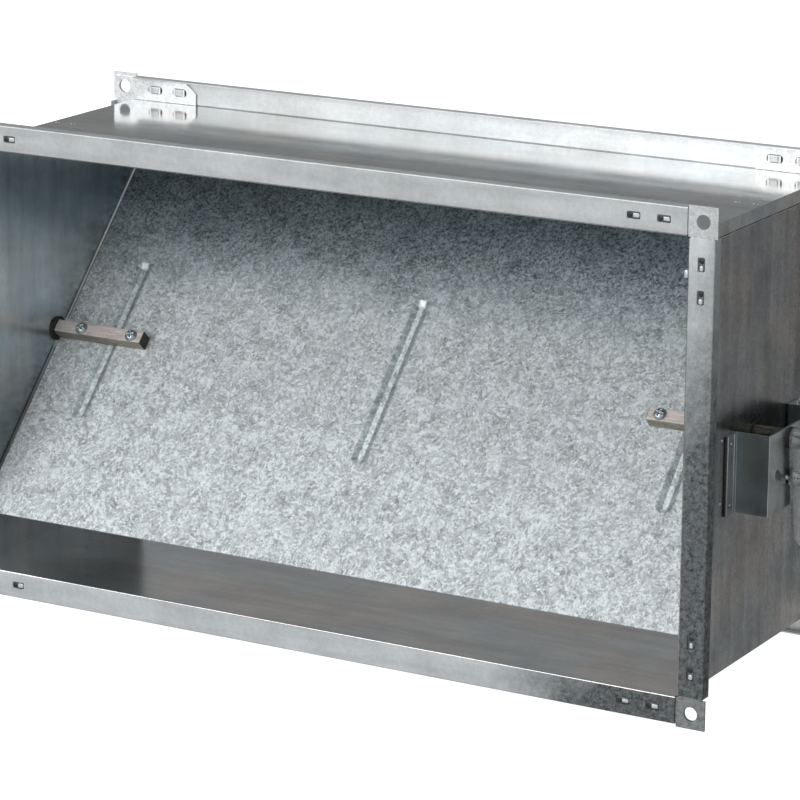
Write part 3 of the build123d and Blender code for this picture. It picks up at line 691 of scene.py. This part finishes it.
# Painted shadow of the gaps between the blade and the walls: brown strips along its side edges, close
# to the walls, clear of its pivots.
pivot = Vector((0, length / 2, 0))
blade_axes = (X, Vector(BLADE_UP), Vector(BLADE_NORMAL))
EDGE_SECTION = ((0, -5.95), (0.9, -5.8), (1.15, -5.5), (0.9, -5.2), (0, -5.05))
EDGE_POINTS = 12
EDGE_X = half_w - 1.95
EDGE_END, EDGE_START = 148.0, 12.0
edges = Builder()
for side in (-1, 1):
    for low, high in ((-EDGE_END, -EDGE_START), (EDGE_START, EDGE_END)):
        edges.solid([[(side * (EDGE_X + a), low + (high - low) * k / EDGE_POINTS, b)
                      for a, b in EDGE_SECTION] for k in range(EDGE_POINTS + 1)], pivot, blade_axes)
edges.make("blade_edge_gap_shadows", "blade_gap_shadow", "spangled_sheet", "blade_assembly")

# Pan-head screws through each bar and the blade: (radius, height over the bar's face).
HEAD_PROFILE = ((0.35, 3.2), (0.7, 3.18), (1.05, 3.12), (1.4, 3.05), (1.75, 2.98), (2.1, 2.88),
                (2.5, 2.7), (2.9, 2.5), (3.3, 2.26), (3.7, 1.95), (4.1, 1.55), (4.4, 1.1),
                (4.6, 0.6), (4.65, 0.0), (2.4, 0.0), (2.4, -15.0), (2.0, -15.0), (1.0, -15.0),
                (0.3, -15.0))
HEAD_SIDES = 64
BAR_FACE = 5.0
CROSS_HALF_WIDTH, CROSS_REACH, CROSS_DEPTH = 0.5, 2.6, 1.3
bar_end = half_w - BAR_LENGTH / MM
SCREW_STEPS = (9.0, 51.5)
screw_xs = [side * (bar_end + step) for side in (-1, 1) for step in SCREW_STEPS]


def head_ring(radius, height, turn):
    """One ring of a screw, with the cross recess sunk into the rings of its head."""
    ring = []
    for i in range(HEAD_SIDES):
        angle = 2 * math.pi * i / HEAD_SIDES
        a, b = radius * math.cos(angle), radius * math.sin(angle)
        in_cross = min(abs(a), abs(b)) < CROSS_HALF_WIDTH and radius < CROSS_REACH and height > 0
        sunk = CROSS_DEPTH * max(0.0, 1 - radius / 3.0) + 0.35 if in_cross else 0.0
        ring.append((a * math.cos(turn) - b * math.sin(turn),
                     a * math.sin(turn) + b * math.cos(turn), height - sunk))
    return ring


screws = Builder()
for number, x in enumerate(screw_xs):
    screws.solid([head_ring(radius, height, 0.35 + 0.5 * number) for radius, height in HEAD_PROFILE],
                 pivot + X * x + blade_axes[2] * BAR_FACE, blade_axes)
screw_piece = screws.make("bar_screws", "screw", "bright_zinc", "blade_assembly")
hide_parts("blade_screws")


# ---- camera -------------------------------------------------------------------------------
CAMERA_PLACE = Vector((1.2408, -2.0520, 0.6419))
CAMERA_YAW = math.radians(29.687)
CAMERA_PITCH = math.radians(-14.8)
CAMERA_ROLL = math.radians(0.371)
CAMERA_LENS = 168.66
SENSOR_WIDTH = 36.0

camera_data = bpy.data.cameras.new("camera")
camera_data.lens = CAMERA_LENS
camera_data.sensor_width = SENSOR_WIDTH
camera_data.clip_end = 50.0
camera = bpy.data.objects.new("camera", camera_data)
bpy.context.scene.collection.objects.link(camera)
aim = Matrix.Rotation(CAMERA_YAW, 4, "Z") @ Matrix.Rotation(math.pi / 2 + CAMERA_PITCH, 4, "X")
camera.matrix_world = Matrix.Translation(CAMERA_PLACE) @ aim @ Matrix.Rotation(CAMERA_ROLL, 4, "Z")
bpy.context.scene.camera = camera
bpy.context.scene.view_settings.view_transform = "Standard"


# ---- stage --------------------------------------------------------------------------------
STUDIO_RINGS = ((4.0, 0.0), (5.0, 0.3), (5.6, 1.2), (5.8, 5.0), (4.0, 7.0))
STUDIO_SIDES = 64


def studio(height):
    """A white paper floor that curves up into a surrounding wall. It lights nothing."""
    verts = [(0, 0, height)]
    for radius, rise in STUDIO_RINGS:
        for i in range(STUDIO_SIDES):
            angle = 2 * math.pi * i / STUDIO_SIDES
            verts.append((radius * math.cos(angle), radius * math.sin(angle), height + rise))
    faces = [(0, 1 + i, 1 + (i + 1) % STUDIO_SIDES) for i in range(STUDIO_SIDES)]
    for ring in range(len(STUDIO_RINGS) - 1):
        first, second = 1 + ring * STUDIO_SIDES, 1 + (ring + 1) * STUDIO_SIDES
        for i in range(STUDIO_SIDES):
            j = (i + 1) % STUDIO_SIDES
            faces.append((first + i, second + i, second + j, first + j))
    mesh = bpy.data.meshes.new("studio")
    mesh.from_pydata(verts, [], faces)
    stage = bpy.data.objects.new("studio", mesh)
    bpy.context.scene.collection.objects.link(stage)
    stage.visible_glossy = False
    stage.visible_diffuse = False
    s = Shader("studio_paper")
    paper = s.ramp(s.noise(60.0, 3.0), (0.2, grey(0.86)), (0.8, grey(0.90)))
    mesh.materials.append(s.surface(Base_Color=paper, Roughness=0.9,
                                    Emission_Color=(1, 1, 1, 1), Emission_Strength=0.95))


def area_light(name, place, target, size, power):
    """A soft rectangular light at place, looking at target."""
    data = bpy.data.lights.new(name, "AREA")
    data.shape = "RECTANGLE"
    data.size, data.size_y = size
    data.energy = power
    lamp = bpy.data.objects.new(name, data)
    bpy.context.scene.collection.objects.link(lamp)
    lamp.location = place
    lamp.rotation_euler = (Vector(target) - Vector(place)).to_track_quat("-Z", "Y").to_euler()


def sky(direction, *stops):
    """Soft surroundings that brighten towards one direction. A stop is (cosine, brightness)."""
    world = bpy.data.worlds.new("studio_sky")
    world.use_nodes = True
    tree = world.node_tree
    place = tree.nodes.new("ShaderNodeTexCoord")
    facing = tree.nodes.new("ShaderNodeVectorMath")
    facing.operation = "DOT_PRODUCT"
    facing.inputs[1].default_value = direction
    spread = tree.nodes.new("ShaderNodeMapRange")
    spread.inputs["From Min"].default_value = -1
    spread.inputs["From Max"].default_value = 1
    ramp = tree.nodes.new("ShaderNodeValToRGB")
    elements = ramp.color_ramp.elements
    while len(elements) < len(stops):
        elements.new(0.5)
    for element, (cosine, level) in zip(elements, stops):
        element.position = (cosine + 1) / 2
        element.color = (level * 0.97, level, level * 1.01, 1)
    tree.links.new(place.outputs["Generated"], facing.inputs[0])
    tree.links.new(facing.outputs["Value"], spread.inputs["Value"])
    tree.links.new(spread.outputs["Result"], ramp.inputs["Fac"])
    tree.links.new(ramp.outputs["Color"], tree.nodes["Background"].inputs["Color"])
    tree.nodes["Background"].inputs["Strength"].default_value = 1.0
    bpy.context.scene.world = world


FLOOR_CLEARANCE = 0.0005
studio(cad_box[0][2] - FLOOR_CLEARANCE)
part_middle = (Vector(cad_box[0]) + Vector(cad_box[1])) / 2
area_light("key", (-1.1, -2.6, 1.2), part_middle, (2.0, 1.2), 39)
sky((-0.15, -0.6, 0.5), (-0.8, 0.25), (-0.3, 0.32), (0.2, 0.50), (0.45, 0.62), (0.75, 0.75))
